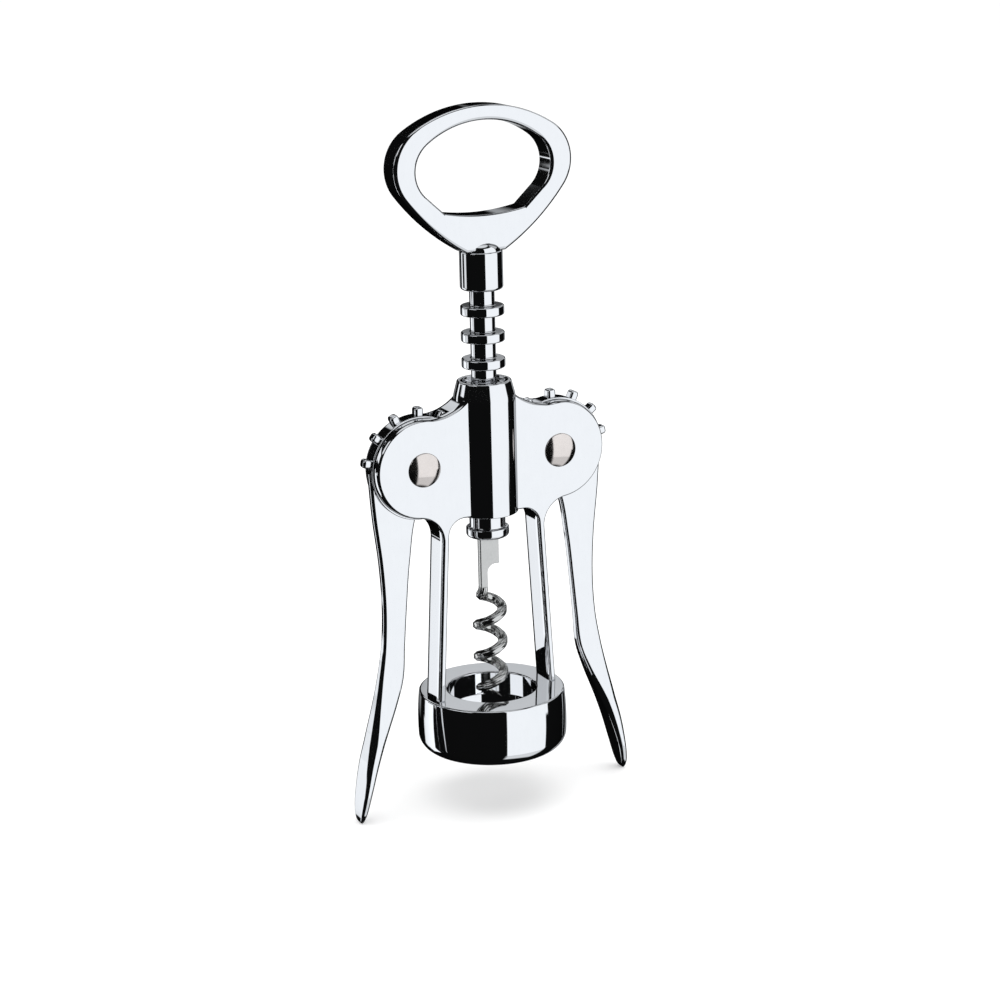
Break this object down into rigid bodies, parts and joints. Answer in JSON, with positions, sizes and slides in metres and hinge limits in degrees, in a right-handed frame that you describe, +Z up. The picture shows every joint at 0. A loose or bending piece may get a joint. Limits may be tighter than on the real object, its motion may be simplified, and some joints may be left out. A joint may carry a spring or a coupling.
{
  "type": "wing corkscrew",
  "caption": "Wing corkscrew: ring handle and worm on a ribbed rack, geared side levers, and a slotted frame whose collar seats on a bottle's lip.",
  "frame": {"origin": "on the spindle's axis, at the collar's lower face", "axes": "+Z up along the spindle to the ring handle, +X towards the right lever, -Y towards the front"},
  "size_m": [0.0816, 0.0406, 0.189],
  "materials": {
    "chrome": "polished chrome plate on a zinc casting",
    "nickel": "polished nickel-plated rivet, slightly warm",
    "steel": "satin steel"
  },
  "bodies": {
    "frame": {"frame_body": "chrome", "bottle_collar": "chrome", "pivot_rivet_left": "nickel", "pivot_rivet_right": "nickel"},
    "rack": {"rack_spindle": "chrome"},
    "screw": {"ring_handle": "chrome", "spindle_core": "steel", "worm_head": "chrome", "worm": "steel"},
    "left_lever": {"lever_left": "chrome"},
    "right_lever": {"lever_right": "chrome"}
  },
  "joints": [
    {"name": "rack_slide", "type": "slide", "parent": "frame", "child": "rack", "axis": [0, 0, -1], "range_m": [0, 0.034]},
    {"name": "handle_spin", "type": "hinge", "parent": "rack", "child": "screw", "pos_m": [0, 0, 0.13], "axis": [0, 0, -1], "continuous": true},
    {"name": "left_lever_pivot", "type": "hinge", "parent": "frame", "child": "left_lever", "pos_m": [-0.02, 0, 0.081], "axis": [0, 1, 0], "range_deg": [0, 131.5]},
    {"name": "right_lever_pivot", "type": "hinge", "parent": "frame", "child": "right_lever", "pos_m": [0.02, 0, 0.081], "axis": [0, -1, 0], "range_deg": [0, 131.5]}
  ],
  "couplings": [
    {"joint": "left_lever_pivot", "follows": "rack_slide", "rad_per_m": 67.34},
    {"joint": "right_lever_pivot", "follows": "rack_slide", "rad_per_m": 67.34}
  ]
}
